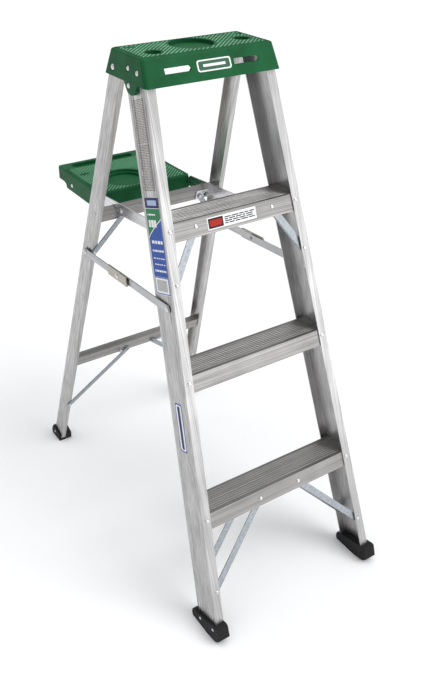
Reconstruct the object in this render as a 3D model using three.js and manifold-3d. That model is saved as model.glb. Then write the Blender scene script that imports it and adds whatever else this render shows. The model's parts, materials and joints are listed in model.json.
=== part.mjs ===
// A folding aluminium stepladder with a moulded top cap and a moulded pail shelf, in millimetres, +Z up.
// -Y is the climbing side, +Y the rear, X runs from the left rail to the right rail.
// The front section leans back from the floor, the rear section hangs from two hinge rivets in the cap,
// and the shelf pivots on the upper rear bar so that its arms bear up against the top step.
import * as THREE from 'three';
import { mergeVertices } from 'three/addons/utils/BufferGeometryUtils.js';
import Module from 'manifold-3d';

const wasm = await Module();
wasm.setup();

// ---- driving dimensions -------------------------------------------------------------------------------
const GAP = 0.3; // clearance kept between touching pieces
const STEP_PITCH = 304.8; // along the front rail
const RAIL_REACH = 1219.2; // four pitches, floor to the cap
const FRONT_LEAN = THREE.MathUtils.degToRad(18);
const FRONT_HALF_FLOOR = 223.4; // outer face of the front rail web at the floor
const FRONT_HALF_TOP = 142.5; // the same at the cap
const FRONT_RAIL = { depth: 76, flange: 20, wall: 2.6, bottom: 34, top: 1200 };
const FRONT_FLUTES = { centres: [11, 20, 56, 65], width: 6, cut: 1.4 }; // in the web's outer face

const STEP = { depth: 65, lip: 36, wall: 2, ribs: 9, ribWidth: 2.4, ribCut: 0.8 };

const HINGE = { y: 482, z: 1124 }; // axis of the rear section in the cap
const REAR_FOOT_Y = 861;
const REAR_HALF_HINGE = 143.4;
const REAR_HALF_FLOOR = 223.5;
const REAR_RAIL = { depth: 42, flange: 12, wall: 2.2, above: 8, below: 1166, chamfer: 8 };
const REAR_FLUTES = { centres: [10, 21, 32], width: 6, cut: 1.3 };

const CAP = {
  bottom: { z: 1109, halfX: 153, front: 348, rear: 516 },
  top: { z: 1158, halfX: 147, front: 371, rear: 494 },
  wall: 3.5, corner: 9, edge: 3,
};
const SHELF = {
  bottom: { z: 761, halfX: 122.4, front: 650, rear: 890 },
  top: { z: 805, halfX: 122, front: 651.5, rear: 888.5 },
  wall: 3.4, corner: 9, edge: 3,
};
const ARM = {
  thickness: 3, outer: 118.2, slope: 0.0755, underSlope: 0.088, rearTop: 806, rearTopY: 641, rearBottom: 779,
};
const SHELF_PIVOT = { y: 552, z: 799 };

const UPPER_BAR = { from: 341.5, to: 368.5, depth: 18, wall: 2 }; // distances down the rear rail
const LOWER_BAR = { from: 823, to: 853, depth: 18, wall: 2 };

const LINK = { width: 18, thickness: 2.5, frontPlane: 174.6 }; // inner face of the front link
const SPREADER_FRONT = { s: 751.2, n: 27.1 }; // pivot on the front rail's web
const SPREADER_REAR_DROP = 465; // down the rear rail
const FRONT_LINK_LENGTH = 206;

const RIVET = { shank: 2.6, head: 5.2, dome: 2.2, segments: 12 };
const PIN = { shank: 3.2, head: 6.5, dome: 2.6, segments: 14 };

// ---- materials ----------------------------------------------------------------------------------------
const paint = (color, roughness, metalness) => () => (
  new THREE.MeshStandardMaterial({ color, roughness, metalness })
);
const aluminium = paint(0xb8b6b4, 0.42, 1);
const greenPlastic = paint(0x2c6542, 0.55, 0);
const galvanised = paint(0x8a9094, 0.45, 1);
const linkSteel = paint(0x98958c, 0.5, 1);
const blackRubber = paint(0x222222, 0.8, 0);
const rivetMetal = paint(0xc4c4c6, 0.35, 1);

// ---- solid helpers ------------------------------------------------------------------------------------
/** A THREE geometry as a manifold solid. */
function solid(geometry) {
  const bare = geometry.clone();
  bare.deleteAttribute('normal');
  bare.deleteAttribute('uv');
  const welded = mergeVertices(bare, 1e-4);
  return new wasm.Manifold(new wasm.Mesh({
    numProp: 3,
    vertProperties: new Float32Array(welded.attributes.position.array),
    triVerts: new Uint32Array(welded.index.array),
  }));
}

/** A manifold solid as a THREE geometry. */
function toGeometry(manifold) {
  const mesh = manifold.getMesh();
  const geometry = new THREE.BufferGeometry();
  geometry.setAttribute('position', new THREE.BufferAttribute(new Float32Array(mesh.vertProperties), 3));
  geometry.setIndex(new THREE.BufferAttribute(new Uint32Array(mesh.triVerts), 1));
  geometry.computeVertexNormals();
  return geometry;
}

/** The base with every tool taken away. */
function cut(base, ...tools) {
  return toGeometry(tools.reduce((body, tool) => body.subtract(solid(tool)), solid(base)));
}

/** The base with every further piece added. */
function join(base, ...more) {
  return toGeometry(more.reduce((body, piece) => body.add(solid(piece)), solid(base)));
}

/** What the base and the tool have in common. */
function keep(base, tool) {
  return toGeometry(solid(base).intersect(solid(tool)));
}

/** Turns every triangle over, for geometry that a mirroring transform has turned inside out. */
function flipWinding(geometry) {
  const flipped = mergeVertices(geometry, 1e-4);
  const index = flipped.index.array;
  for (let i = 0; i < index.length; i += 3) {
    [index[i + 1], index[i + 2]] = [index[i + 2], index[i + 1]];
  }
  return flipped;
}

/** Moves a geometry by a matrix and keeps its faces pointing out. */
function place(geometry, matrix) {
  const moved = geometry.clone();
  moved.deleteAttribute('normal');
  moved.deleteAttribute('uv');
  moved.applyMatrix4(matrix);
  return matrix.determinant() < 0 ? flipWinding(moved) : moved;
}

/** A flat outline drawn out along its normal; holes are [x, y, radius]. */
function prism(points, depth, holes = []) {
  const outline = points.map(([x, y]) => new THREE.Vector2(x, y));
  if (THREE.ShapeUtils.isClockWise(outline)) outline.reverse();
  const shape = new THREE.Shape(outline);
  for (const [x, y, radius] of holes) {
    shape.holes.push(new THREE.Path().absarc(x, y, radius, 0, 2 * Math.PI, true));
  }
  return new THREE.ExtrudeGeometry(shape, { depth, bevelEnabled: false, curveSegments: 6 });
}

/** A box from one corner to the opposite one. */
function box([x0, y0, z0], [x1, y1, z1]) {
  const geometry = new THREE.BoxGeometry(x1 - x0, y1 - y0, z1 - z0);
  return geometry.translate((x0 + x1) / 2, (y0 + y1) / 2, (z0 + z1) / 2);
}

/** A cylinder along X between two X values, at (y, z). */
function rodX(radius, x0, x1, y, z, segments = RIVET.segments) {
  const geometry = new THREE.CylinderGeometry(radius, radius, x1 - x0, segments);
  return geometry.rotateZ(Math.PI / 2).translate((x0 + x1) / 2, y, z);
}

/** A bar with round ends along X, between two Z values. */
function capsule(x0, x1, y, radius, z0, z1) {
  const shape = new THREE.Shape();
  shape.absarc(x0 + radius, y, radius, Math.PI / 2, 1.5 * Math.PI);
  shape.absarc(x1 - radius, y, radius, -Math.PI / 2, Math.PI / 2);
  const bar = new THREE.ExtrudeGeometry(shape, { depth: z1 - z0, bevelEnabled: false, curveSegments: 8 });
  return bar.translate(0, 0, z0);
}

/** A cylinder along Z between two Z values, at (x, y). */
function rodZ(radius, z0, z1, x, y, segments = 40) {
  const geometry = new THREE.CylinderGeometry(radius, radius, z1 - z0, segments);
  return geometry.rotateX(Math.PI / 2).translate(x, y, (z0 + z1) / 2);
}

// ---- frames -------------------------------------------------------------------------------------------
const vector = (x, y, z) => new THREE.Vector3(x, y, z);
const basis = (x, y, z, origin) => new THREE.Matrix4().makeBasis(x, y, z).setPosition(origin);
const MIRROR_X = new THREE.Matrix4().makeScale(-1, 1, 1);

const frontSin = Math.sin(FRONT_LEAN);
const frontCos = Math.cos(FRONT_LEAN);
const frontTaper = (FRONT_HALF_FLOOR - FRONT_HALF_TOP) / RAIL_REACH;
const alongFront = vector(0, frontSin, frontCos); // up the front section
const behindFront = vector(0, frontCos, -frontSin); // out of its rear face
const frontHalf = (s) => FRONT_HALF_FLOOR - frontTaper * s;

/** (inward, rearward, up the rail) of the right front rail, which leans in towards the cap. */
const frontRailFrame = basis(vector(-1, 0, 0), behindFront, vector(-frontTaper, frontSin, frontCos),
  vector(FRONT_HALF_FLOOR, 0, 0));
/** (x, up the section, rearward) of the whole front section. */
const frontPlane = basis(vector(1, 0, 0), alongFront, behindFront, vector(0, 0, 0));
const frontPoint = (x, s, n) => vector(x, s, n).applyMatrix4(frontPlane);

const REAR_LEAN = Math.atan2(REAR_FOOT_Y - HINGE.y, HINGE.z);
const rearLength = HINGE.z / Math.cos(REAR_LEAN);
const rearTaper = (REAR_HALF_FLOOR - REAR_HALF_HINGE) / rearLength;
const downRear = vector(0, Math.sin(REAR_LEAN), -Math.cos(REAR_LEAN));
const behindRear = vector(0, Math.cos(REAR_LEAN), Math.sin(REAR_LEAN));
const rearHalf = (r) => REAR_HALF_HINGE + rearTaper * r;
const hingePoint = vector(0, HINGE.y, HINGE.z);

/** (inward, rearward, down the rail) of the right rear rail. */
const rearRailFrame = basis(vector(-1, 0, 0), behindRear,
  vector(rearTaper, Math.sin(REAR_LEAN), -Math.cos(REAR_LEAN)), vector(REAR_HALF_HINGE, HINGE.y, HINGE.z));
/** (x, down the section, rearward) of the whole rear section. */
const rearPlane = basis(vector(1, 0, 0), downRear, behindRear, hingePoint);
const rearPoint = (x, r, m) => vector(x, r, m).applyMatrix4(rearPlane);

/** (down the rear section, rearward, x), for outlines drawn in its side view. */
const rearSide = (x) => rearPlane.clone().multiply(
  basis(vector(0, 1, 0), vector(0, 0, 1), vector(1, 0, 0), vector(x, 0, 0)));
/** (y, z, x) of the ladder, for outlines drawn in side view and drawn out along X. */
const sideFrame = (x) => basis(vector(0, 1, 0), vector(0, 0, 1), vector(1, 0, 0), vector(x, 0, 0));

// ---- the assembly -------------------------------------------------------------------------------------
const ladder = new THREE.Group();

function add(name, geometry, material) {
  const mesh = new THREE.Mesh(geometry, material());
  mesh.name = name;
  ladder.add(mesh);
}

/** Adds a right-hand piece and its mirror image. */
function addPair(name, geometry, material) {
  add(`${name}_right`, geometry, material);
  add(`${name}_left`, place(geometry, MIRROR_X), material);
}

/** A rivet or pin: a domed head outside the point, its shank running back from it. */
function rivet(size, length, point, outward) {
  const { shank, head, dome, segments } = size;
  const profile = [[0, -length], [shank, -length], [shank, GAP], [head, GAP], [head * 0.86, dome * 0.6],
    [head * 0.5, dome], [0, dome * 1.08]];
  const geometry = new THREE.LatheGeometry(profile.map(([r, y]) => new THREE.Vector2(r, y)), segments);
  const turn = new THREE.Quaternion().setFromUnitVectors(vector(0, 1, 0), outward);
  const matrix = new THREE.Matrix4().compose(point, turn, vector(1, 1, 1));
  return place(geometry, matrix);
}

/** A channel outline with its web along one side, flutes cut into the outer face of the web. */
function channelOutline(depth, flange, wall, flutes) {
  const web = [[0, depth]];
  for (const centre of [...flutes.centres].reverse()) {
    web.push([0, centre + flutes.width / 2], [flutes.cut, centre + flutes.width / 4]);
    web.push([flutes.cut, centre - flutes.width / 4], [0, centre - flutes.width / 2]);
  }
  return [[0, 0], [flange, 0], [flange, wall], [wall, wall], [wall, depth - wall], [flange, depth - wall],
    [flange, depth], ...web];
}

// ---- spreader pivots ----------------------------------------------------------------------------------
const spreaderFront = frontPoint(0, SPREADER_FRONT.s, SPREADER_FRONT.n);
const spreaderRear = rearPoint(0, SPREADER_REAR_DROP, 0);

// ---- front section ------------------------------------------------------------------------------------
const stepHeights = { bottom: STEP_PITCH, middle: 2 * STEP_PITCH, top: 3 * STEP_PITCH };
const FLANGE_RIVET_INSET = 11; // from the web's outer face
const FLANGE_RIVET_DROP = 13; // below the tread
const KNEE_RIVETS = { top: { x: 158, s: 797 }, bottom: { x: 202, s: 122 } };

const RAIL_RIVETS_IN_CAP = [{ y: 421, z: 1133 }, { y: 416, z: 1103 }];
const CAP_SEAT = { upper: 148.6, ear: 152.2, hinge: 149.6 }; // flats under the rivet heads
const capSeat = ({ z }) => (z < CAP.bottom.z ? CAP_SEAT.ear : CAP_SEAT.upper);

function frontRail() {
  const { depth, flange, wall, bottom, top } = FRONT_RAIL;
  const outline = channelOutline(depth, flange, wall, FRONT_FLUTES);
  const rail = place(prism(outline, top - bottom).translate(0, 0, bottom), frontRailFrame);
  const holes = Object.values(stepHeights).map((s) => {
    const x = frontHalf(s) - FLANGE_RIVET_INSET;
    return rodAcrossFront(x, s - FLANGE_RIVET_DROP, -2, wall + 2);
  });
  for (const { x, s } of Object.values(KNEE_RIVETS)) holes.push(rodAcrossFront(x, s, -2, wall + 2));
  for (const { y, z } of RAIL_RIVETS_IN_CAP) holes.push(rodX(RIVET.shank + GAP, 135, 160, y, z));
  holes.push(rodX(PIN.shank + GAP, 165, 180, spreaderFront.y, spreaderFront.z, PIN.segments));
  return cut(rail, ...holes);
}

/** A rivet hole through the front section, from one depth to another. */
function rodAcrossFront(x, s, n0, n1) {
  const hole = new THREE.CylinderGeometry(RIVET.shank + GAP, RIVET.shank + GAP, n1 - n0, RIVET.segments);
  return place(hole.rotateX(Math.PI / 2).translate(x, s, (n0 + n1) / 2), frontPlane);
}

/** The step's cross-section: a ribbed level tread with a front and a rear lip that lean with the rails. */
function stepOutline() {
  const { depth, lip, wall, ribs, ribWidth, ribCut } = STEP;
  const down = [-frontSin * lip, -frontCos * lip];
  const lipWall = wall / frontCos;
  const lean = wall * Math.tan(FRONT_LEAN);
  const tread = [];
  const margin = 6;
  const pitch = (depth - 2 * margin) / ribs;
  for (let i = 0; i < ribs; i += 1) {
    const y = margin + pitch * (i + 0.5);
    tread.push([y - ribWidth / 2, 0], [y - ribWidth / 4, -ribCut]);
    tread.push([y + ribWidth / 4, -ribCut], [y + ribWidth / 2, 0]);
  }
  return [[0, 0], ...tread, [depth, 0], [depth + down[0], down[1]], [depth - lipWall + down[0], down[1]],
    [depth - lipWall - lean, -wall], [lipWall - lean, -wall], [lipWall + down[0], down[1]], down];
}

function step(s) {
  const rearEdge = s + STEP.depth * frontSin; // the rails are closest together at the tread's rear edge
  const half = frontHalf(rearEdge) - FRONT_RAIL.wall - 2 * GAP;
  const corner = frontPoint(0, s, FRONT_RAIL.wall + GAP);
  const bar = place(prism(stepOutline(), 2 * half), sideFrame(-half)).translate(0, corner.y, corner.z);
  const x = frontHalf(s) - FLANGE_RIVET_INSET;
  const holes = [-x, x].map((at) => rodAcrossFront(at, s - FLANGE_RIVET_DROP, 0, 12));
  return cut(bar, ...holes);
}

/** A pressed brace: a flat bar with round ends, a stiffening leg along one edge, and a hole at each end. */
function brace([x0, y0], [x1, y1], width, thickness, legDepth) {
  const length = Math.hypot(x1 - x0, y1 - y0);
  const shape = new THREE.Shape();
  shape.absarc(0, 0, width / 2, Math.PI / 2, 1.5 * Math.PI);
  shape.absarc(length, 0, width / 2, -Math.PI / 2, Math.PI / 2);
  for (const x of [0, length]) {
    shape.holes.push(new THREE.Path().absarc(x, 0, RIVET.shank + GAP, 0, 2 * Math.PI, true));
  }
  const bar = new THREE.ExtrudeGeometry(shape, { depth: thickness, bevelEnabled: false, curveSegments: 6 });
  const legInset = width * 0.9;
  const leg = box([legInset, -width / 2, 0], [length - legInset, -width / 2 + thickness, legDepth]);
  const turn = new THREE.Matrix4().makeRotationZ(Math.atan2(y1 - y0, x1 - x0)).setPosition(x0, y0, 0);
  return place(join(bar, leg), turn);
}

const BRACE = { width: 15, thickness: 2.2, leg: 8 };
const STEP_LIP_BACK = FRONT_RAIL.wall + GAP + STEP.wall + GAP; // depth of the back of a step's front lip
const REAR_LIP_FACE = FRONT_RAIL.wall + GAP + STEP.depth * frontCos + GAP;

function kneeBrace(upper, lower, n) {
  const bar = brace(upper, lower, BRACE.width, BRACE.thickness, BRACE.leg);
  return place(bar.translate(0, 0, n), frontPlane);
}

/** Rubber shoe around the foot of a front rail: a wedge with a pocket for the channel. */
function frontFoot() {
  const side = [[-8, 18], [2, 7], [34, 0], [97, 0], [101, 8], [99, 20], [92, 24], [6, 47], [0, 45]];
  const inner = 199;
  const outer = 228.5;
  const block = place(prism(side, outer - inner), sideFrame(inner));
  const { depth, flange, wall } = FRONT_RAIL;
  const pocket = [[-GAP, -GAP], [flange + GAP, -GAP], [flange + GAP, wall + GAP], [wall + GAP, wall + GAP],
    [wall + GAP, depth - wall - GAP], [flange + GAP, depth - wall - GAP], [flange + GAP, depth + GAP],
    [-GAP, depth + GAP]];
  const start = FRONT_RAIL.bottom - GAP;
  return cut(block, place(prism(pocket, 120).translate(0, 0, start), frontRailFrame));
}

addPair('front_rail', frontRail(), aluminium);
for (const [name, s] of Object.entries(stepHeights)) {
  add(`step_${name}`, step(s), aluminium);
  const head = frontPoint(frontHalf(s) - FLANGE_RIVET_INSET, s - FLANGE_RIVET_DROP, 0);
  addPair(`step_rivet_${name}`, rivet(RIVET, 7, head, behindFront.clone().negate()), rivetMetal);
}
addPair('front_foot', frontFoot(), blackRubber);
const topBraceEnds = [[92, 899], [KNEE_RIVETS.top.x, KNEE_RIVETS.top.s]];
const bottomBraceEnds = [[52, 285], [KNEE_RIVETS.bottom.x, KNEE_RIVETS.bottom.s]];
addPair('knee_brace_top', kneeBrace(...topBraceEnds, STEP_LIP_BACK), galvanised);
addPair('knee_brace_bottom', kneeBrace(...bottomBraceEnds, STEP_LIP_BACK), galvanised);
const rearBrace = place(brace(...bottomBraceEnds, BRACE.width, BRACE.thickness, 2.4)
  .translate(0, 0, REAR_LIP_FACE), frontPlane);
addPair('rear_knee_brace', rearBrace, galvanised);

// ---- top cap ------------------------------------------------------------------------------------------
/** A rounded box whose four sides draft from a bottom rectangle to a top rectangle. */
function draftedBox(bottom, top, corner, edge) {
  const height = top.z - bottom.z;
  const halfY = (bottom.rear - bottom.front) / 2;
  const middle = (bottom.rear + bottom.front) / 2;
  const shape = new THREE.Shape();
  const [hx, hy] = [bottom.halfX, halfY];
  shape.absarc(hx - corner, hy - corner, corner, 0, Math.PI / 2);
  shape.absarc(-hx + corner, hy - corner, corner, Math.PI / 2, Math.PI);
  shape.absarc(-hx + corner, -hy + corner, corner, Math.PI, 1.5 * Math.PI);
  shape.absarc(hx - corner, -hy + corner, corner, 1.5 * Math.PI, 2 * Math.PI);
  const block = new THREE.ExtrudeGeometry(shape, {
    depth: height, bevelEnabled: true, bevelThickness: edge, bevelSize: edge, bevelOffset: -edge,
    bevelSegments: 2, curveSegments: 4,
  }).translate(0, 0, -edge);
  const position = block.attributes.position;
  for (let i = 0; i < position.count; i += 1) {
    const rise = position.getZ(i) / height;
    const scaleX = 1 + rise * (top.halfX / bottom.halfX - 1);
    const topHalfY = (top.rear - top.front) / 2;
    const scaleY = 1 + rise * (topHalfY / halfY - 1);
    const shift = rise * ((top.rear + top.front) / 2 - middle);
    position.setXYZ(i, position.getX(i) * scaleX, middle + shift + position.getY(i) * scaleY,
      bottom.z + position.getZ(i));
  }
  const reach = 400;
  return keep(block, box([-reach, 0, bottom.z], [reach, 1000, top.z + 10]));
}

/** The cavity of a drafted box with an open underside. */
function cavity({ bottom, top, wall, corner }) {
  const inset = (level, z) => (
    { z, halfX: level.halfX - wall, front: level.front + wall, rear: level.rear - wall }
  );
  const hollow = draftedBox(inset(bottom, bottom.z), inset(top, top.z - wall), corner - wall, 0.5);
  const mouth = box([-bottom.halfX + 2 * wall, bottom.front + 2 * wall, bottom.z - 5],
    [bottom.halfX - 2 * wall, bottom.rear - 2 * wall, bottom.z + 1]);
  return { hollow, mouth };
}

const CAP_RECESS = { x: 2, y: 441, radius: 45, depth: 7 };
const CAP_CUPS = [
  { x: -99.5, y: 411, radius: 15.5, depth: 9 },
  { x: 111.5, y: 427, radius: 15.5, depth: 9 },
];
const FRONT_SLOTS = [[-106, -48], [47, 106]];
const FRONT_SLOT = { z: 1133, height: 10.5 };
const TOOL_SLOTS = [{ x: -118, y: 470 }, { x: 132, y: 466 }];
const RELIEF = { halfX: 127, top: 1138 }; // lets the folded shelf swing under the cap
const SEAT_MARGIN = 1.2; // by which a seat is wider than the rivet head on it

/** A round dished recess: the cup that closes it below, and the tool that opens it above. */
function recess({ x, y, radius, depth }, wall, surface) {
  return {
    cup: rodZ(radius + wall, surface - depth - wall, surface - 1, x, y),
    tool: rodZ(radius, surface - depth, surface + 5, x, y),
  };
}

/** A front slot with a pointed right end, drawn in the XZ plane and cut through the front wall. */
function frontSlot(x0, x1, z, height) {
  const half = height / 2;
  const outline = [[x0, z - half], [x1 - half, z - half], [x1, z], [x1 - half, z + half], [x0, z + half]];
  const slotFrame = basis(vector(1, 0, 0), vector(0, 0, 1), vector(0, -1, 0), vector(0, 385, 0));
  return place(prism(outline, 50), slotFrame);
}

function topCap() {
  const { bottom, top, wall, corner, edge } = CAP;
  const { hollow, mouth } = cavity(CAP);
  let cap = cut(draftedBox(bottom, top, corner, edge), hollow, mouth);

  const recesses = [CAP_RECESS, ...CAP_CUPS].map((spec) => recess(spec, wall, top.z));
  cap = join(cap, ...recesses.map(({ cup }) => cup));

  const earOutline = [[372, 1140], [380, 1112], [388, 1098], [397, 1089], [408, 1086.5], [420, 1090],
    [427, 1098], [434, 1112], [442, 1140]];
  const ears = [-1, 1].map((side) => {
    const ear = place(prism(earOutline, 9), sideFrame(144));
    return side > 0 ? ear : place(ear, MIRROR_X);
  });
  const bosses = [-1, 1].map((side) => {
    const boss = rodX(9, REAR_HALF_HINGE + 2 * GAP, 149.5, HINGE.y, HINGE.z, 24);
    return side > 0 ? boss : place(boss, MIRROR_X);
  });
  const below = draftedBox({ ...bottom, z: 1060 }, { ...top, z: 1109.5, halfX: bottom.halfX }, 1, 0.5);
  const outside = join(draftedBox(bottom, top, corner, edge), below);
  cap = join(cap, ...ears.map((ear) => keep(ear, outside)), ...bosses);

  const railEnvelope = prism([[-GAP, -GAP], [FRONT_RAIL.flange + GAP, -GAP],
    [FRONT_RAIL.flange + GAP, FRONT_RAIL.depth + GAP], [-GAP, FRONT_RAIL.depth + GAP]], 200);
  const envelope = place(railEnvelope.translate(0, 0, FRONT_RAIL.top + 2 * GAP - 200), frontRailFrame);
  const tools = [envelope, ...recesses.map(({ tool }) => tool)];
  for (const { x, y } of TOOL_SLOTS) tools.push(box([x - 6, y - 2, top.z - 20], [x + 6, y + 2, top.z + 5]));
  tools.push(box([-RELIEF.halfX, 478, bottom.z - 10], [RELIEF.halfX, 530, RELIEF.top]));
  for (const [x0, x1] of FRONT_SLOTS) tools.push(frontSlot(x0, x1, FRONT_SLOT.z, FRONT_SLOT.height));
  for (const seat of RAIL_RIVETS_IN_CAP) {
    tools.push(rodX(RIVET.shank + GAP, 135, 160, seat.y, seat.z));
    tools.push(rodX(RIVET.head + SEAT_MARGIN, capSeat(seat), 160, seat.y, seat.z, 20));
  }
  const sweep = Math.hypot(REAR_RAIL.depth / 2, REAR_RAIL.chamfer - REAR_RAIL.above) + 4 * GAP;
  tools.push(rodX(sweep, 128, REAR_HALF_HINGE + GAP, HINGE.y, HINGE.z, 32));
  tools.push(rodX(PIN.shank + GAP, 135, 160, HINGE.y, HINGE.z, PIN.segments));
  tools.push(rodX(PIN.head + SEAT_MARGIN, CAP_SEAT.hinge, 160, HINGE.y, HINGE.z, 20));
  const mirrored = tools.map((tool) => place(tool, MIRROR_X));
  const paired = new Set([envelope, ...tools.slice(-2 * RAIL_RIVETS_IN_CAP.length - 3)]);
  return cut(cap, ...tools, ...mirrored.filter((_, i) => paired.has(tools[i])));
}

add('top_cap', topCap(), greenPlastic);
RAIL_RIVETS_IN_CAP.forEach((seat, i) => {
  const point = vector(capSeat(seat), seat.y, seat.z);
  addPair(`cap_rivet_${i + 1}`, rivet(RIVET, capSeat(seat) - 140, point, vector(1, 0, 0)), rivetMetal);
});
const hingeHead = vector(CAP_SEAT.hinge, HINGE.y, HINGE.z);
addPair('hinge_rivet', rivet(PIN, CAP_SEAT.hinge - 138, hingeHead, vector(1, 0, 0)), rivetMetal);

// ---- rear section -------------------------------------------------------------------------------------
function rearRail() {
  const { depth, flange, wall, above, below, chamfer } = REAR_RAIL;
  const outline = channelOutline(depth, flange, wall, REAR_FLUTES).map(([u, m]) => [u, m - depth / 2]);
  const rail = place(prism(outline, above + below).translate(0, 0, -above), rearRailFrame);
  const corners = [-1, 1].map((side) => {
    const edge = side * depth / 2;
    const beyond = edge + side;
    const triangle = [[chamfer - above, beyond], [-above - 1, beyond],
      [-above - 1, edge - side * (chamfer + 1)], [chamfer - above, edge]];
    return place(prism(triangle, 60), rearSide(110));
  });
  return cut(rail, ...corners,
    rodX(PIN.shank + GAP, 130, 160, HINGE.y, HINGE.z, PIN.segments),
    rodX(PIN.shank + GAP, 160, 190, spreaderRear.y, spreaderRear.z, PIN.segments));
}

/** A channel bar between the rear rails, its fluted web facing forwards. */
function rearBar({ from, to, depth, wall }) {
  const height = to - from;
  const half = rearHalf(from) - REAR_RAIL.wall - 2 * GAP;
  const flutes = { centres: [0.3, 0.5, 0.7].map((share) => share * height), width: 3.4, cut: 0.6 };
  const outline = channelOutline(height, depth, wall, flutes);
  const face = -REAR_RAIL.depth / 2 + REAR_RAIL.wall + GAP;
  const frame = basis(behindRear, downRear, vector(1, 0, 0), rearPoint(-half, from, face));
  return place(prism(outline, 2 * half), frame);
}

const BAR_FACE = -REAR_RAIL.depth / 2 + REAR_RAIL.wall + GAP;
const BRACKET_SHEET = 2.2;
const DIAGONAL_PLANE = BAR_FACE - 2 * GAP - BRACKET_SHEET - BRACE.thickness;

/** A steel diagonal from a rear bar down to the right rear rail, lying in front of both. */
function diagonal(upper, lower) {
  const bar = brace(upper, lower, 13, BRACE.thickness, 2.3);
  return place(bar.translate(0, 0, DIAGONAL_PLANE), rearPlane);
}

/** Rubber shoe around the foot of a rear rail. */
function rearFoot() {
  const side = [[840, 0], [892, 0], [892, 14], [880, 34], [868, 34], [838, 20]];
  const [inner, outer] = [190, 227];
  const block = place(prism(side, outer - inner), sideFrame(inner));
  const { depth, flange, below } = REAR_RAIL;
  const half = depth / 2 + GAP;
  const pocket = [[-GAP, -half], [flange + GAP, -half], [flange + GAP, half], [-GAP, half]];
  return cut(block, place(prism(pocket, 120).translate(0, 0, below + GAP - 120), rearRailFrame));
}

/** Steel bracket on the upper rear bar: a base plate, and an ear that carries the shelf's pivot pin. */
function shelfBracket() {
  const pivot = vector(0, SHELF_PIVOT.y, SHELF_PIVOT.z).applyMatrix4(rearPlane.clone().invert());
  const earOuter = ARM.outer - ARM.thickness - GAP;
  const baseTop = BAR_FACE - GAP;
  const base = box([92, UPPER_BAR.from + 1, baseTop - BRACKET_SHEET],
    [earOuter, UPPER_BAR.to - 1, baseTop]);
  const reach = 9;
  const root = UPPER_BAR.to - 11;
  const outline = [[UPPER_BAR.from + 1, baseTop], [root, baseTop], [root, baseTop - 8],
    [pivot.y + reach, pivot.z - 4], [pivot.y + 5, pivot.z - reach], [pivot.y - 5, pivot.z - reach],
    [pivot.y - reach, pivot.z + 4], [pivot.y - 4, baseTop - 3]];
  const ear = prism(outline, BRACKET_SHEET, [[pivot.y, pivot.z, PIN.shank + GAP]]);
  return join(place(base, rearPlane), place(ear, rearSide(earOuter - BRACKET_SHEET)));
}

addPair('rear_rail', rearRail(), aluminium);
add('rear_bar_upper', rearBar(UPPER_BAR), aluminium);
add('rear_bar_lower', rearBar(LOWER_BAR), aluminium);
addPair('rear_diagonal_upper', diagonal([102, 358], [rearHalf(452) - 6, 452]), galvanised);
addPair('rear_diagonal_lower', diagonal([40, 846], [rearHalf(1012) - 6, 1012]), galvanised);
addPair('rear_foot', rearFoot(), blackRubber);
addPair('shelf_bracket', shelfBracket(), galvanised);

// ---- pail shelf ---------------------------------------------------------------------------------------
const PAIL_RECESS = { x: -20, y: 722, radius: 54, depth: 5, inner: 46, innerDepth: 10 };
const TROUGH = { x0: -94, x1: 74, y: 862, halfWidth: 11.5, depth: 14 };
const SHELF_RIVETS = [{ y: 808, z: 776 }];
const SHELF_SEAT = 121.3;

function pailShelf() {
  const { bottom, top, wall, corner, edge } = SHELF;
  const { hollow, mouth } = cavity(SHELF);
  let shelf = cut(draftedBox(bottom, top, corner, edge), hollow, mouth);
  const pail = recess(PAIL_RECESS, wall, top.z);
  const { inner, innerDepth } = PAIL_RECESS;
  const dish = recess({ ...PAIL_RECESS, radius: inner, depth: innerDepth }, wall, top.z);
  const { x0, x1, y, halfWidth, depth } = TROUGH;
  const troughShell = capsule(x0 - wall, x1 + wall, y, halfWidth + wall, top.z - depth - wall, top.z - 1);
  shelf = join(shelf, pail.cup, dish.cup, troughShell);

  const armSlot = box([ARM.outer - ARM.thickness - 2 * GAP, 640, bottom.z - 5],
    [ARM.outer + 0.2, 660, 800.8]);
  const bitSlot = box([-101, 790, top.z - 10], [-85, 794, top.z + 5]);
  const trough = capsule(x0, x1, y, halfWidth, top.z - depth, top.z + 5);
  const skirtStep = [[834, 750], [900, 750], [900, 774], [852, 774], [843, 770]];
  const stepUp = place(prism(skirtStep, 300), sideFrame(-150));
  const tools = [pail.tool, dish.tool, armSlot, place(armSlot, MIRROR_X), trough, bitSlot, stepUp];
  for (const { y, z } of SHELF_RIVETS) {
    const hole = rodX(RIVET.shank + GAP, 110, 130, y, z);
    const seat = rodX(RIVET.head + SEAT_MARGIN, SHELF_SEAT, 130, y, z, 20);
    tools.push(hole, seat, place(hole, MIRROR_X), place(seat, MIRROR_X));
  }
  return cut(shelf, ...tools);
}

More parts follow.
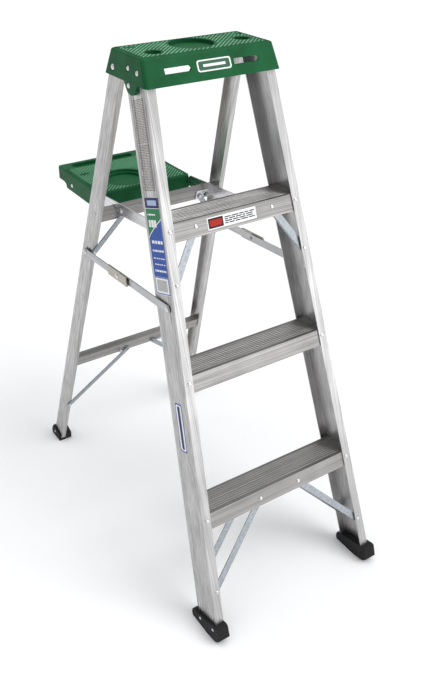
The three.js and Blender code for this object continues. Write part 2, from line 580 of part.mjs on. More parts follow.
/** The side arm: over the upper rear bar by a notch, and forwards to end under the top step's rear lip. */
function shelfArm() {
  const top = (y) => ARM.rearTop + (ARM.rearTopY - y) * ARM.slope;
  const under = (y) => ARM.rearBottom + (645 - y) * ARM.underSlope;
  const tip = 362;
  const insideTop = 800;
  const { y: py, z: pz } = SHELF_PIVOT;
  const notch = [[16.2, -30], [17.2, -11.5], [19.6, -6.5], [20.3, 2.4], [39.8, 3], [45.5, -13], [46, -30]];
  const outline = [[tip, under(tip) + 6], [tip + 6, under(tip + 6)], [645, under(645)], [822, 766],
    [828, 772], [828, insideTop], [646, insideTop], [640, top(640)], [tip + 4, top(tip)],
    [tip, top(tip) - 5]];
  const holes = [[py, pz, PIN.shank + GAP], ...SHELF_RIVETS.map(({ y, z }) => [y, z, RIVET.shank + GAP])];
  const plate = prism(outline, ARM.thickness, holes);
  const clearance = prism(notch.map(([y, z]) => [py + y, pz + z]), ARM.thickness + 4).translate(0, 0, -2);
  return place(cut(plate, clearance), sideFrame(ARM.outer - ARM.thickness));
}

add('pail_shelf', pailShelf(), greenPlastic);
addPair('shelf_arm', shelfArm(), aluminium);
const pivotHead = vector(ARM.outer, SHELF_PIVOT.y, SHELF_PIVOT.z);
addPair('shelf_pivot_pin', rivet(PIN, 7.5, pivotHead, vector(1, 0, 0)), rivetMetal);
SHELF_RIVETS.forEach(({ y, z }, i) => {
  addPair(`shelf_rivet_${i + 1}`, rivet(RIVET, 6, vector(SHELF_SEAT, y, z), vector(1, 0, 0)), rivetMetal);
});

// ---- spreaders ----------------------------------------------------------------------------------------
const spread = spreaderRear.clone().sub(spreaderFront);
const spreadLine = spread.clone().normalize();
const spreaderCentre = spreaderFront.clone().addScaledVector(spreadLine, FRONT_LINK_LENGTH);
const rearLinkLength = spread.length() - FRONT_LINK_LENGTH;
const REAR_LINK_PLANE = LINK.frontPlane + LINK.thickness + GAP;
const LOCK_PLATE = { thickness: 2, ahead: 42, behind: 44 }; // lengths either side of the centre rivet

/** (along the spreader, up, outwards) from a point on the spreader line. */
function spreaderFrame(origin, x) {
  const up = vector(0, -spreadLine.z, spreadLine.y);
  return basis(spreadLine, up, vector(1, 0, 0), vector(x, origin.y, origin.z));
}

/** A flat link with round ends and a hole at each end. */
function link(length) {
  const radius = LINK.width / 2;
  const shape = new THREE.Shape();
  shape.absarc(0, 0, radius, Math.PI / 2, 1.5 * Math.PI);
  shape.absarc(length, 0, radius, -Math.PI / 2, Math.PI / 2);
  for (const x of [0, length]) {
    shape.holes.push(new THREE.Path().absarc(x, 0, PIN.shank + GAP, 0, 2 * Math.PI, true));
  }
  return new THREE.ExtrudeGeometry(shape, { depth: LINK.thickness, bevelEnabled: false, curveSegments: 8 });
}

/** The folded plate over the middle of a spreader, its lips wrapping the edges of the rear link. */
function lockPlate() {
  const inner = LINK.width / 2 + GAP + 0.1;
  const outer = inner + LOCK_PLATE.thickness;
  const web = LINK.thickness + GAP;
  const section = [[-outer, 0.2], [-inner, 0.2], [-inner, web], [inner, web], [inner, 0.2], [outer, 0.2],
    [outer, web + LOCK_PLATE.thickness], [-outer, web + LOCK_PLATE.thickness]];
  const length = LOCK_PLATE.ahead + LOCK_PLATE.behind;
  const start = spreaderCentre.clone().addScaledVector(spreadLine, -LOCK_PLATE.ahead);
  const up = vector(0, -spreadLine.z, spreadLine.y);
  const frame = basis(up, vector(1, 0, 0), spreadLine, vector(REAR_LINK_PLANE, start.y, start.z));
  const plate = place(prism(section, length), frame);
  return cut(plate, rodX(PIN.shank + GAP, 170, 190, spreaderCentre.y, spreaderCentre.z, PIN.segments));
}

const frontLinkFrame = spreaderFrame(spreaderFront, LINK.frontPlane);
const rearLinkFrame = spreaderFrame(spreaderCentre, REAR_LINK_PLANE);
addPair('spreader_front_link', place(link(FRONT_LINK_LENGTH), frontLinkFrame), linkSteel);
addPair('spreader_rear_link', place(link(rearLinkLength), rearLinkFrame), linkSteel);
addPair('spreader_lock_plate', lockPlate(), linkSteel);
const frontPinHead = vector(LINK.frontPlane + LINK.thickness, spreaderFront.y, spreaderFront.z);
addPair('spreader_front_pin', rivet(PIN, 6.4, frontPinHead, vector(1, 0, 0)), rivetMetal);
const rearPinHead = vector(REAR_LINK_PLANE + LINK.thickness, spreaderRear.y, spreaderRear.z);
addPair('spreader_rear_pin', rivet(PIN, 8, rearPinHead, vector(1, 0, 0)), rivetMetal);
const centreHead = vector(REAR_LINK_PLANE + LINK.thickness + GAP + LOCK_PLATE.thickness, spreaderCentre.y,
  spreaderCentre.z);
addPair('spreader_centre_rivet', rivet(PIN, 4.6, centreHead, vector(1, 0, 0)), rivetMetal);

// ---- origin at the middle of the footprint, on the floor ----------------------------------------------
const extent = new THREE.Box3().setFromObject(ladder);
const middle = extent.getCenter(new THREE.Vector3());
ladder.position.set(-middle.x, -middle.y, -extent.min.z);

export default ladder;
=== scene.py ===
"""A folding aluminium stepladder with a moulded top cap and pail shelf, dressed for a studio picture."""

import json
import math
import random

import bmesh
import bpy
from mathutils import Matrix, Vector


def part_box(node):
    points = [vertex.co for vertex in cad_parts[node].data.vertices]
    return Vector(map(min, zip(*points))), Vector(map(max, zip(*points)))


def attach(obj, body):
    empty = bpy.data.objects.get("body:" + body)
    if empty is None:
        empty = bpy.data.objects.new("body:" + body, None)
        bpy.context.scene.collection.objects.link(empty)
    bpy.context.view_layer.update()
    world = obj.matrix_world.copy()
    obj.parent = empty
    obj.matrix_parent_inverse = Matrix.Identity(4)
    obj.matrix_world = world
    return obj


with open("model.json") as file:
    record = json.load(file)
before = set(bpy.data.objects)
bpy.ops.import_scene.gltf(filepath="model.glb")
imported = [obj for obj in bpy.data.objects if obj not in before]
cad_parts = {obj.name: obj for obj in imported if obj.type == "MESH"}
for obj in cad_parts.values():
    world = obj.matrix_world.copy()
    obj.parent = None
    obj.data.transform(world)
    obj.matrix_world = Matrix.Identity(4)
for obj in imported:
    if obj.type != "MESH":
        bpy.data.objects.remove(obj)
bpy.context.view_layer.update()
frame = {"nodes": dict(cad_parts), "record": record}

MM = 0.001
ROW = frame["record"]
JOINTS = {joint["name"]: joint for joint in ROW["behaviour"]["joints"]}


# ---- frames of the two sections -----------------------------------------------------------------------
def centre(node):
    low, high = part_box(node)
    return (low + high) / 2


STEP_PITCH = 304.8
RAIL_WALL = 2.9  # mm from the flange's face to a step's front lip
TREAD_DEPTH = 65.0
climb = (centre("step_top") - centre("step_bottom")).normalized()
out_back = Vector((0, climb.z, -climb.y))
bottom_corner = Vector((0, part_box("step_bottom")[1].y - TREAD_DEPTH * MM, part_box("step_bottom")[1].z))
front_origin = bottom_corner - climb * (STEP_PITCH * MM) - out_back * (RAIL_WALL * MM)
WEB_FLOOR, WEB_TAPER = 223.4, 80.9 / 1219.2  # mm from the middle to the web at the floor, and its taper


def front(x, s, n):
    """A point on the front section: x across, s up the rails, n rearwards from the flange face, in mm."""
    return front_origin + Vector((x, 0, 0)) * MM + climb * (s * MM) + out_back * (n * MM)


def front_web(side, s, n, lift=0.0):
    """A point on the outer face of a front rail's web, lifted outwards from it."""
    return front(side * (WEB_FLOOR - WEB_TAPER * s + lift), s, n)


hinge = Vector(JOINTS["rear_fold"]["pos_m"])
rear_pin = Vector(JOINTS["spreader_rear_right_turn"]["pos_m"])
down_rear = Vector((0, rear_pin.y - hinge.y, rear_pin.z - hinge.z)).normalized()
rear_back = Vector((0, -down_rear.z, down_rear.y))
REAR_WEB_HINGE, REAR_WEB_TAPER = 143.4, 0.06753  # the same, from the hinge down


def rear(x, r, m):
    """A point on the rear section: r down from the hinge, m rearwards from its middle plane, in mm."""
    return hinge + Vector((x, 0, 0)) * MM + down_rear * (r * MM) + rear_back * (m * MM)


def rear_web(side, r, m, lift=0.0):
    """A point on the outer face of a rear rail's web, lifted outwards from it."""
    return rear(side * (REAR_WEB_HINGE + REAR_WEB_TAPER * r + lift), r, m)


FRONT_LEAN = math.atan2(climb.y, climb.z)
REAR_LEAN = math.atan2(down_rear.y, -down_rear.z)


# ---- materials ----------------------------------------------------------------------------------------
def linear(code):
    """An sRGB hex colour as linear RGBA."""
    channels = [int(code[i:i + 2], 16) / 255 for i in (0, 2, 4)]
    return [c / 12.92 if c <= 0.04045 else ((c + 0.055) / 1.055) ** 2.4 for c in channels] + [1.0]


def add_node(tree, kind, settings=None, stops=(), **inputs):
    """Adds a shader node; an input is a value, or a (node, output) pair to link from, and i2 is input 2.

    stops are the (position, colour) pairs of a colour ramp."""
    made = tree.nodes.new(kind)
    for name, value in (settings or {}).items():
        setattr(made, name, value)
    for index, (position, colour) in enumerate(stops):
        made.color_ramp.elements[index].position = position
        made.color_ramp.elements[index].color = colour
    for name, value in inputs.items():
        numbered = name[0] == "i" and name[1:].isdigit()
        socket = made.inputs[int(name[1:]) if numbered else name.replace("_", " ")]
        if isinstance(value, tuple) and isinstance(value[0], bpy.types.Node):
            tree.links.new(value[0].outputs[value[1]], socket)
        else:
            socket.default_value = value
    return made


def blank(name, **principled):
    """A material with a Principled shader, and the colour and bump chains that it will take."""
    material = bpy.data.materials.new(name)
    material.use_nodes = True
    tree = material.node_tree
    shader = tree.nodes["Principled BSDF"]
    for key, value in principled.items():
        shader.inputs[key.replace("_", " ")].default_value = value
    return material, tree, shader


def coordinates(tree, scale, turn=(0, 0, 0)):
    """Object coordinates, turned, then stretched; scale is in repeats per metre."""
    source = add_node(tree, "ShaderNodeTexCoord")
    turned = add_node(tree, "ShaderNodeMapping", Vector=(source, "Object"), Rotation=turn)
    return add_node(tree, "ShaderNodeMapping", Vector=(turned, "Vector"), Scale=scale)


def grey(value):
    """An even grey, already linear."""
    return [value, value, value, 1.0]


# pattern repeats per metre, with what they measure
FINE = 480.0  # 2 mm die lines, coarser than real ones so that they show
LONG = 3.0  # 330 mm along the drawing direction
PATCH = 14.0  # 70 mm dull patches
DRIFT = 22.0  # 45 mm drift of tone in a moulding
SPANGLE = 260.0  # 4 mm zinc crystals
PEBBLE = 500.0  # 2 mm unevenness of a pressed head


def drawn_metal(name, dark, light, streak, rough=(0.3, 0.46), turn=(0, 0, 0), bump=0.06, patch=PATCH):
    """Extruded or rolled metal: fine drawn streaks one way, over broad uneven patches."""
    material, tree, shader = blank(name, Metallic=1.0)
    across = coordinates(tree, streak, turn)
    lines = add_node(tree, "ShaderNodeTexNoise", Vector=(across, "Vector"), Scale=1.0, Detail=3.0)
    patches = coordinates(tree, (patch,) * 3)
    broad = add_node(tree, "ShaderNodeTexNoise", Vector=(patches, "Vector"), Scale=1.0, Detail=2.0)
    both = add_node(tree, "ShaderNodeMix", {"data_type": "FLOAT"}, Factor=0.25, i2=(lines, "Fac"),
                    i3=(broad, "Fac"))
    tone = add_node(tree, "ShaderNodeValToRGB", Fac=(both, 0),
                    stops=[(0.3, linear(dark)), (0.7, linear(light))])
    gloss = add_node(tree, "ShaderNodeMapRange", Value=(both, 0), From_Min=0.3, From_Max=0.7,
                     To_Min=rough[1], To_Max=rough[0])
    relief = add_node(tree, "ShaderNodeBump", Height=(lines, "Fac"), Strength=bump, Distance=0.0004)
    tree.links.new(tone.outputs["Color"], shader.inputs["Base Color"])
    tree.links.new(gloss.outputs["Result"], shader.inputs["Roughness"])
    tree.links.new(relief.outputs["Normal"], shader.inputs["Normal"])
    return material


def grained(name, dark, light, grain_mm, rough, bump=0.25, specular=0.5):
    """A moulded plastic or rubber: a fine pebble grain and a slow drift of tone."""
    material, tree, shader = blank(name, Roughness=rough, Specular_IOR_Level=specular)
    grain = coordinates(tree, (1 / (grain_mm * MM),) * 3)
    fine = add_node(tree, "ShaderNodeTexNoise", Vector=(grain, "Vector"), Scale=1.0, Detail=2.0)
    broad = coordinates(tree, (DRIFT,) * 3)
    drift = add_node(tree, "ShaderNodeTexNoise", Vector=(broad, "Vector"), Scale=1.0, Detail=3.0)
    tone = add_node(tree, "ShaderNodeValToRGB", Fac=(drift, "Fac"),
                    stops=[(0.35, linear(dark)), (0.65, linear(light))])
    relief = add_node(tree, "ShaderNodeBump", Height=(fine, "Fac"), Strength=bump, Distance=0.0003)
    tree.links.new(tone.outputs["Color"], shader.inputs["Base Color"])
    tree.links.new(relief.outputs["Normal"], shader.inputs["Normal"])
    return material


def spangled(name, dark, light):
    """Hot-dip galvanised sheet: crystal spangle a few millimetres across, dull and bluish."""
    material, tree, shader = blank(name, Metallic=1.0)
    spangle = coordinates(tree, (SPANGLE,) * 3)
    crystals = add_node(tree, "ShaderNodeTexVoronoi", Vector=(spangle, "Vector"), Scale=1.0)
    split = add_node(tree, "ShaderNodeSeparateColor", Color=(crystals, "Color"))
    tone = add_node(tree, "ShaderNodeValToRGB", Fac=(split, 0),
                    stops=[(0.0, linear(dark)), (1.0, linear(light))])
    gloss = add_node(tree, "ShaderNodeMapRange", Value=(split, 1), To_Min=0.34, To_Max=0.5)
    tree.links.new(tone.outputs["Color"], shader.inputs["Base Color"])
    tree.links.new(gloss.outputs["Result"], shader.inputs["Roughness"])
    return material


def ink(name, code, rough=0.45):
    """Printed vinyl: an even colour with a trace of orange peel in its clear film."""
    return grained(name, code, code, 1.4, rough, bump=0.05, specular=0.2)


# mill-finish extrusions: dull silver with die lines that run along each length
front_metal = drawn_metal("mill_aluminium_front_rail", "9b9a99", "cfcece", (FINE, FINE, LONG),
                          turn=(FRONT_LEAN, 0, 0))
rear_metal = drawn_metal("mill_aluminium_rear_rail", "9e9d9c", "d1d0cf", (FINE, FINE, LONG),
                         turn=(-REAR_LEAN, 0, 0))
step_metal = drawn_metal("mill_aluminium_step", "7d7b7a", "aba9a7", (LONG, FINE, FINE))
# smoother, brighter strip aluminium
arm_metal = drawn_metal("bright_aluminium_arm", "bcbcbe", "e4e4e6", (FINE, LONG, FINE), rough=(0.2, 0.32))
# hot-dip zinc: bluish grey flakes
zinc = spangled("galvanised_brace", "989da3", "abb1b6")
# yellowish plating on the folded lock plates, and clear zinc on the links
plated = drawn_metal("plated_spreader_steel", "a29f96", "bcb8ac", (FINE, LONG, FINE), rough=(0.34, 0.5))
link_metal = drawn_metal("zinc_plated_link", "a2a2a4", "c6c6c8", (FINE, LONG, FINE), rough=(0.3, 0.44))
# rivet heads: pressed aluminium, each a small bright dot
head_metal = drawn_metal("pressed_rivet_head", "c4c4c6", "e2e2e4", (PEBBLE,) * 3, rough=(0.25, 0.38))
# moulded polypropylene: deep green with a soft sheen; the raised ridges get a paler copy of it, a painted
# highlight where their crests catch the light
green = grained("moulded_green_plastic", "124e2b", "195b35", 0.7, 0.5, specular=0.13)
ridge_green_painted_highlight = grained("painted_highlight_ridge_green_plastic", "66a880", "7ab892", 0.7, 0.5, specular=0.16)
green_dark = grained("badge_green_ink", "1f5237", "24593c", 0.9, 0.4)
# moulded rubber: near black, pebbled, hardly any shine
rubber = grained("black_moulded_rubber", "151515", "202021", 0.9, 0.7, bump=0.4, specular=0.25)
# printed vinyl labels: flat even colours
white_ink = ink("white_vinyl_label", "eef0f0")
navy_ink = ink("navy_label_ink", "262c58")
blue_ink = ink("blue_label_ink", "2a51a4")
green_ink = ink("green_label_ink", "1f7a4a")
grey_ink = ink("grey_web_print", "77736f", rough=0.6)
black_ink = ink("black_label_ink", "1e1c1c")
red_ink = ink("red_label_ink", "a8281f")
pale_ink = ink("pale_blue_label_ink", "a9b8d8")


def finish_of(node):
    """The finish of a CAD node, from what the piece is."""
    if node in ("top_cap", "pail_shelf"):
        return green
    if "rivet" in node or "_pin_" in node:
        return head_metal
    if "foot" in node:
        return rubber
    if "brace" in node or "diagonal" in node:
        return zinc
    if node.startswith("spreader_lock"):
        return plated
    if node.startswith("spreader"):
        return link_metal
    if node.startswith(("shelf_arm", "shelf_bracket")):
        return arm_metal
    if node.startswith("rear_rail"):
        return rear_metal
    if node.startswith("front_rail"):
        return front_metal
    return step_metal


for node_name, node_object in frame["nodes"].items():
    for material_slot in node_object.material_slots:
        material_slot.material = finish_of(node_name)


# ---- mesh helpers -------------------------------------------------------------------------------------
def piece(name, mesh, material, body):
    """Turns a finished bmesh into an object that rides on a body."""
    bmesh.ops.recalc_face_normals(mesh, faces=mesh.faces)
    data = bpy.data.meshes.new(name)
    mesh.to_mesh(data)
    mesh.free()
    data.materials.append(material)
    made = bpy.data.objects.new(name, data)
    bpy.context.collection.objects.link(made)
    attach(made, body)
    return made


def slab(mesh, outline, lift):
    """Adds a plate: a flat outline and its copy moved by the lift vector, joined round the edge."""
    low = [mesh.verts.new(point) for point in outline]
    high = [mesh.verts.new(point + lift) for point in outline]
    mesh.faces.new(low)
    mesh.faces.new(high)
    for i in range(len(low)):
        j = (i + 1) % len(low)
        mesh.faces.new((low[i], low[j], high[j], high[i]))


def plates(name, outlines, lift, material, body):
    mesh = bmesh.new()
    for outline in outlines:
        slab(mesh, outline, lift)
    return piece(name, mesh, material, body)


def dome(mesh, at, normal, radius, height):
    """Adds a rivet head: a short drum with a rounded top."""
    turn = normal.to_track_quat("Z", "Y").to_matrix().to_4x4()
    rings = [(1.0, 0.0), (1.0, 0.25), (0.86, 0.62), (0.5, 0.94)]
    count = 14
    loops = []
    for reach, rise in rings:
        loop = []
        for i in range(count):
            angle = 2 * math.pi * i / count
            local = Vector((math.cos(angle) * radius * reach, math.sin(angle) * radius * reach, rise * height))
            loop.append(mesh.verts.new(at + turn @ local))
        loops.append(loop)
    for lower, upper in zip(loops, loops[1:]):
        for i in range(count):
            j = (i + 1) % count
            mesh.faces.new((lower[i], lower[j], upper[j], upper[i]))
    mesh.faces.new(loops[0])
    mesh.faces.new(loops[-1])


def domes(name, spots, body, radius=5.0, height=2.2):
    mesh = bmesh.new()
    for at, normal in spots:
        dome(mesh, at, normal, radius * MM, height * MM)
    made = piece(name, mesh, head_metal, body)
    for face in made.data.polygons:
        face.use_smooth = len(face.vertices) == 4
    return made


# ---- rivets that the CAD leaves out -------------------------------------------------------------------
BOTH = (-1, 1)
forward = -out_back
knee_ends = [(92, 899), (158, 797), (52, 285), (202, 122)]
knee_depth = [RAIL_WALL, 0, RAIL_WALL, 0]
front_spots = [(front(side * x, s, n), forward) for side in BOTH for (x, s), n in zip(knee_ends, knee_depth)]
domes("knee_brace_rivets", front_spots, "front_section", radius=4.6)

cap_side = [(Vector((side * 0.1500, -0.058, 1.131)), Vector((side, 0, 0.12))) for side in BOTH]
domes("cap_side_rivets", cap_side, "front_section")

foot_spots = []
for side, tag in ((-1, "left"), (1, "right")):
    low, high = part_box(f"front_foot_{tag}")
    face_x = high.x if side > 0 else low.x
    for back, up in ((0.074, 0.021), (0.023, 0.035)):
        foot_spots.append((Vector((face_x, low.y + back, up)), Vector((side, 0, 0))))
domes("front_foot_rivets", foot_spots, "front_section", radius=3.6, height=1.6)

rear_spots = []
for side, tag in ((-1, "left"), (1, "right")):
    low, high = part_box(f"rear_foot_{tag}")
    face_x = high.x if side > 0 else low.x
    rear_spots.append((Vector((face_x, low.y + 0.03, 0.018)), Vector((side, 0, 0))))
    for drop in (350, 360, 832, 846):
        land = -5.5 if drop in (350, 832) else 5.5  # the flat strips between the web's flutes
        rear_spots.append((rear_web(side, drop, land), Vector((side, 0, 0))))
domes("rear_section_rivets", rear_spots, "rear_section", radius=3.6, height=1.6)

DIAGONAL_FACE = -23.7
diagonal_ends = [(102, 358), (REAR_WEB_HINGE + REAR_WEB_TAPER * 452 - 6, 452), (62, 846),
                 (REAR_WEB_HINGE + REAR_WEB_TAPER * 1012 - 6, 1012)]
diagonal_spots = [(rear(side * x, r, DIAGONAL_FACE), -rear_back) for side in BOTH for x, r in diagonal_ends]
domes("diagonal_rivets", diagonal_spots, "rear_section", radius=4.2)


# ---- raised hatch on the cap and the shelf ------------------------------------------------------------
def clear_runs(start, end, holes, margin):
    """Parts of a line, as pairs of fractions, that stay outside every round or square hole."""
    steps = 160
    inside = []
    for i in range(steps + 1):
        x = start[0] + (end[0] - start[0]) * i / steps
        y = start[1] + (end[1] - start[1]) * i / steps
        inside.append(all(hole(x, y) > margin for hole in holes))
    runs, begin = [], None
    for i, free in enumerate(inside + [False]):
        if free and begin is None:
            begin = i
        if not free and begin is not None:
            if i - begin > 3:
                runs.append((begin / steps, (i - 1) / steps))
            begin = None
    return runs


def round_hole(cx, cy, radius):
    return lambda x, y: math.hypot(x - cx, y - cy) - radius


def square_hole(x0, x1, y0, y1):
    return lambda x, y: max(x0 - x, x - x1, y0 - y, y - y1)


SHORTEST_RIDGE = 4  # mm, measured across


def hatch(name, panel, top, holes, body, pitch=7.0, width=2.0, height=0.7):
    """Diagonal ridges over a flat panel, in mm, keeping clear of its holes."""
    x0, x1, y0, y1 = panel
    mesh = bmesh.new()
    across = Vector((1, -1, 0)).normalized() * (width / 2 * MM)
    spacing = pitch * math.sqrt(2)
    ridge_count = math.ceil((y1 - x0 - (y0 - x1)) / spacing)
    for ridge in range(ridge_count):
        shift = y0 - x1 + ridge * spacing
        low = max(x0, y0 - shift)
        high = min(x1, y1 - shift)
        if high - low < SHORTEST_RIDGE:
            continue
        start, end = (low, low + shift), (high, high + shift)
        for a, b in clear_runs(start, end, holes, margin=2.5):
            ends = [Vector((start[0] + (end[0] - start[0]) * share, start[1] + (end[1] - start[1]) * share,
                            top)) * MM for share in (a, b)]
            crest = [point + Vector((0, 0, height * MM)) for point in ends]
            foot = [mesh.verts.new(p) for p in (ends[0] - across, ends[1] - across, ends[1] + across,
                                                ends[0] + across)]
            peak = [mesh.verts.new(p) for p in (crest[0] - across * 0.5, crest[1] - across * 0.5,
                                                crest[1] + across * 0.5, crest[0] + across * 0.5)]
            mesh.faces.new(foot)
            mesh.faces.new(peak)
            for i in range(4):
                j = (i + 1) % 4
                mesh.faces.new((foot[i], foot[j], peak[j], peak[i]))
    # the ridges take the paler green: a painted highlight on them, standing for the light that they catch
    return piece(name, mesh, ridge_green_painted_highlight, body)


cap_low, cap_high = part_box("top_cap")
CAP_TOP = cap_high.z / MM
cap_holes = [round_hole(2, -1, 47), round_hole(-99.5, -31, 17.5), round_hole(111.5, -15, 17.5),
             square_hole(-127, -109, 24, 32), square_hole(123, 141, 20, 28)]
hatch("cap_hatch", (-137, 137, -62, 43), CAP_TOP, cap_holes, "front_section")

SHELF_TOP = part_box("pail_shelf")[1].z / MM
shelf_holes = [round_hole(-20, 280, 56), square_hole(-104, -82, 346, 354)]
hatch("shelf_hatch", (-112, 112, 218, 400), SHELF_TOP, shelf_holes, "shelf_assembly")


def rim(name, panel, top, body, width=2.6, height=1.0):
    """A low raised border round a hatched panel."""
    x0, x1, y0, y1 = panel
    mesh = bmesh.new()
    loops = []
    for inset, rise in ((0, 0), (0.8, height), (width - 0.8, height), (width, 0)):
        corners = ((x0 + inset, y0 + inset), (x1 - inset, y0 + inset),
                   (x1 - inset, y1 - inset), (x0 + inset, y1 - inset))
        loops.append([mesh.verts.new(Vector((x, y, top + rise)) * MM) for x, y in corners])
    for outer, inner in zip(loops, loops[1:] + loops[:1]):
        for i in range(4):
            j = (i + 1) % 4
            mesh.faces.new((outer[i], outer[j], inner[j], inner[i]))
    return piece(name, mesh, green, body)


rim("cap_rim", (-141, 141, -66, 47), CAP_TOP, "front_section")
rim("shelf_rim", (-117, 117, 214, 405), SHELF_TOP, "shelf_assembly")


# ---- labels -------------------------------------------------------------------------------------------
SIDE = -1
LEFT = Vector((-1, 0, 0))


def web_patch(s0, s1, n0, n1, lift):
    """A rectangle on the left front rail's web."""
    return [front_web(SIDE, s, n, lift) for s, n in ((s0, n0), (s1, n0), (s1, n1), (s0, n1))]


def web_plates(name, outlines, material, thickness=0.06):
    return plates(name, outlines, LEFT * (thickness * MM), material, "front_section")


EDGE_FRONT, EDGE_REAR = 9, 68  # the label's edges, rearwards from the flange's face
BASE, LAYER = 0.12, 0.08
web_plates("side_label_backing", [web_patch(778, 970, EDGE_FRONT, EDGE_REAR, BASE)], white_ink)
INNER_FRONT, INNER_REAR = EDGE_FRONT + 0.6, EDGE_REAR - 0.6  # inside the label's white border
web_plates("side_label_header", [web_patch(949, 969.4, INNER_FRONT, INNER_REAR, BASE + LAYER)], navy_ink)


def divide(n):
    """Height of the curved divide between the label's two colours."""
    t = (EDGE_REAR - n) / (EDGE_REAR - EDGE_FRONT)
    return 890 + 38 * t ** 0.8


across_label = [INNER_FRONT + (INNER_REAR - INNER_FRONT) * i / 12 for i in range(13)]
upper_edge = [(948, n) for n in reversed(across_label)]
green_outline = [(divide(n) + 1.2, n) for n in across_label] + upper_edge
blue_outline = [(divide(n) - 1.2, n) for n in across_label] + [(814, INNER_REAR), (814, INNER_FRONT)]
for label, outline, colour in (("green", green_outline, green_ink), ("blue", blue_outline, blue_ink)):
    web_plates(f"side_label_{label}", [[front_web(SIDE, s, n, BASE + LAYER) for s, n in outline]], colour)
web_plates("side_label_border", [web_patch(779, 813.5, INNER_FRONT, INNER_REAR, BASE + LAYER)], blue_ink)
footer = web_patch(781, 811.5, EDGE_FRONT + 3, EDGE_REAR - 3, BASE + 2 * LAYER)
web_plates("side_label_footer", [footer], white_ink)
footer_rules = [web_patch(785, 808, n, n + 1.5, BASE + 3 * LAYER) for n in range(18, 60, 3)]
web_plates("side_label_footer_rules", footer_rules, grey_ink)


def rounded(place, half_u, half_v, corner, count=6):
    """A rectangle with round corners; place maps (u, v) in mm to a point."""
    outline = []
    for quarter, (side_u, side_v) in enumerate(((1, 1), (-1, 1), (-1, -1), (1, -1))):
        for i in range(count + 1):
            angle = math.pi / 2 * (quarter + i / count)
            outline.append(place(side_u * (half_u - corner) + corner * math.cos(angle),
                                 side_v * (half_v - corner) + corner * math.sin(angle)))
    return outline


header_block = rounded(lambda u, v: front_web(SIDE, 959 + v, 38.5 + u, BASE + 2 * LAYER), 19, 5, 1.5)
web_plates("side_label_header_block", [header_block], pale_ink)


def bars(rows, start, end, shortest, longest, lift):
    """Short rules that stand for printed lines: rows of (s0, s1), each broken at random along n."""
    made = []
    for s0, s1 in rows:
        n = start
        while n < end - 2:
            stop = min(n + random.uniform(shortest, longest), end)
            made.append(web_patch(s0, s1, n, stop, lift))
            n = stop + random.uniform(1.2, 3.5)
    return made


random.seed(7)
print_rows = [(s, s + 1.6) for s in range(982, 1068, 3)] + [(s, s + 1.4) for s in range(1071, 1150, 3)]
web_plates("web_print", bars(print_rows, 16, 62, 6, 22, 0.1), grey_ink, 0.05)
upper_rows = [(935, 938), (912, 926)]
lower_rows = [(880, 886), (864, 868), (850, 852), (838, 840), (824, 828)]
label_rules = bars(upper_rows, 30, 62, 6, 10, BASE + 2 * LAYER)
label_rules += bars(lower_rows, 14, 60, 5, 12, BASE + 2 * LAYER)
web_plates("side_label_rules", label_rules, white_ink)


def web_decal(half_s, half_n, corner, lift):
    """A plain upright tag on the web's lower half."""
    return rounded(lambda u, v: front_web(SIDE, 495 + u, 41 + v, lift), half_s, half_n, corner)


web_plates("web_decal_rim", [web_decal(54, 14, 6, BASE)], blue_ink)
web_plates("web_decal_field", [web_decal(51, 11.5, 4.5, BASE + LAYER)], white_ink)
web_plates("web_decal_core", [web_decal(48, 5, 3, BASE + 2 * LAYER)], navy_ink)


def lip_patch(x0, x1, s0, s1, lift):
    """A rectangle on the top step's front lip."""
    return [front(x, s, RAIL_WALL - lift) for x, s in ((x0, s0), (x1, s0), (x1, s1), (x0, s1))]


def lip_plates(name, outlines, material):
    return plates(name, outlines, forward * (0.06 * MM), material, "front_section")


lip_plates("lip_label_backing", [lip_patch(-66, 51, 885, 909, BASE)], white_ink)
lip_plates("lip_label_panel", [lip_patch(-64, -29, 887, 907, BASE + LAYER)], black_ink)
lip_block = rounded(lambda u, v: front(-46.5 + u, 897 + v, RAIL_WALL - BASE - 2 * LAYER), 14.5, 6.5, 3)
lip_plates("lip_label_block", [lip_block], red_ink)
lip_rules = []
for s in (903, 899, 895, 891):
    x = -25.0
    while x < 42:
        stop = min(x + random.uniform(6, 18), 47)
        lip_rules.append(lip_patch(x, stop, s - 1.1, s + 1.1, BASE + LAYER))
        x = stop + 2.2
lip_plates("lip_label_rules", lip_rules, black_ink)

# badge on the drafted front face of the cap
FACE_RUN, FACE_RISE = 23, 49  # mm back and up over the drafted face
FACE_LEAN = math.atan2(FACE_RUN, FACE_RISE)
face_normal = Vector((0, -math.cos(FACE_LEAN), math.sin(FACE_LEAN)))
face_up = Vector((0, math.sin(FACE_LEAN), math.cos(FACE_LEAN)))
badge_centre = Vector((0.002, cap_low.y + FACE_RUN * MM / 2, cap_high.z - FACE_RISE * MM / 2))


def badge(half_u, half_v, corner, lift):
    """A plain tag on the cap's front face, between its slots."""
    across = Vector((MM, 0, 0))
    return rounded(lambda u, v: badge_centre + across * u + face_up * (v * MM) + face_normal * (lift * MM),
                   half_u, half_v, corner)


badge_layers = (("rim", (38, 11, 5), 0.15, white_ink), ("field", (35, 8.4, 3.5), 0.35, green_dark),
                ("stripe", (25, 2.4, 1), 0.55, white_ink))
for label, sizes, lift, colour in badge_layers:
    plates(f"cap_badge_{label}", [badge(*sizes, lift)], face_normal * (0.12 * MM), colour, "front_section")


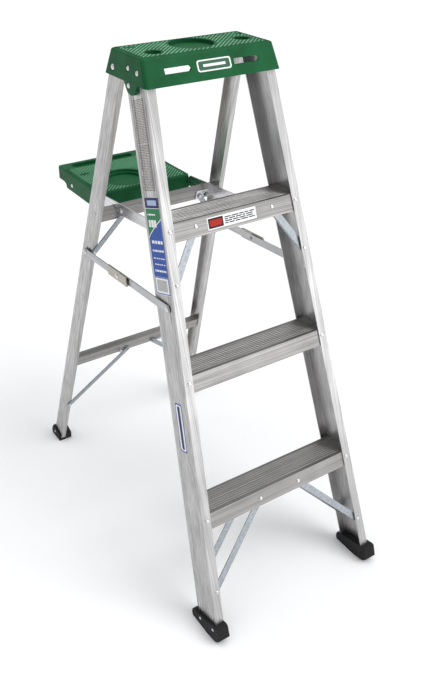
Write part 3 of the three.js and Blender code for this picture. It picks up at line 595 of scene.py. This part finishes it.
# ---- studio -------------------------------------------------------------------------------------------
def studio_floor():
    """A plain pale floor, far wider than the object."""
    material, tree, shader = blank("matte_white_studio_floor", Roughness=0.9, Specular_IOR_Level=0.1)
    drift = add_node(tree, "ShaderNodeTexNoise", Vector=(coordinates(tree, (3.0,) * 3), "Vector"), Scale=1.0)
    tone = add_node(tree, "ShaderNodeValToRGB", Fac=(drift, "Fac"),
                    stops=[(0.3, grey(0.9)), (0.7, grey(0.92))])
    tree.links.new(tone.outputs["Color"], shader.inputs["Base Color"])
    mesh = bmesh.new()
    bmesh.ops.create_grid(mesh, x_segments=2, y_segments=2, size=40)
    data = bpy.data.meshes.new("floor")
    mesh.to_mesh(data)
    mesh.free()
    data.materials.append(material)
    floor = bpy.data.objects.new("floor", data)
    bpy.context.collection.objects.link(floor)


def light(name, kind, direction, energy, **settings):
    """A light that shines along a direction; the settings go on its data."""
    data = bpy.data.lights.new(name, kind)
    data.energy = energy
    for key, value in settings.items():
        setattr(data, key, value)
    made = bpy.data.objects.new(name, data)
    made.matrix_world = Vector(direction).to_track_quat("-Z", "Y").to_matrix().to_4x4()
    bpy.context.collection.objects.link(made)
    return made


studio_floor()
light("key", "SUN", (-0.35, 0.55, -0.85), 1.4, angle=math.radians(35))
softbox = light("softbox", "AREA", (-0.42, 0.88, -0.12), 30.0, shape="RECTANGLE", size=2.6, size_y=2.6)
softbox.location = Vector((1.6, -3.4, 1.1))
light("top", "SUN", (0.15, -0.1, -1.0), 0.8, angle=math.radians(60))

world = bpy.data.worlds.new("studio")
world.use_nodes = True
world.node_tree.nodes["Background"].inputs["Color"].default_value = (0.88, 0.89, 0.91, 1.0)
world.node_tree.nodes["Background"].inputs["Strength"].default_value = 0.62
bpy.context.scene.world = world

FOCAL_PX, FRAME_PX, SENSOR = 789.2, 430, 36.0
AZIMUTH, ELEVATION = math.radians(33.3), math.radians(32.0)
camera_data = bpy.data.cameras.new("camera")
camera_data.sensor_fit = "HORIZONTAL"
camera_data.sensor_width = SENSOR
camera_data.lens = FOCAL_PX * SENSOR / FRAME_PX
camera = bpy.data.objects.new("camera", camera_data)
look = Vector((math.sin(AZIMUTH) * math.cos(ELEVATION), math.cos(AZIMUTH) * math.cos(ELEVATION),
               -math.sin(ELEVATION)))
stand = Vector((-0.8423, -1.3704, 1.4779))
camera.matrix_world = Matrix.Translation(stand) @ look.to_track_quat("-Z", "Y").to_matrix().to_4x4()
bpy.context.collection.objects.link(camera)
bpy.context.scene.camera = camera
bpy.context.scene.view_settings.view_transform = "Standard"
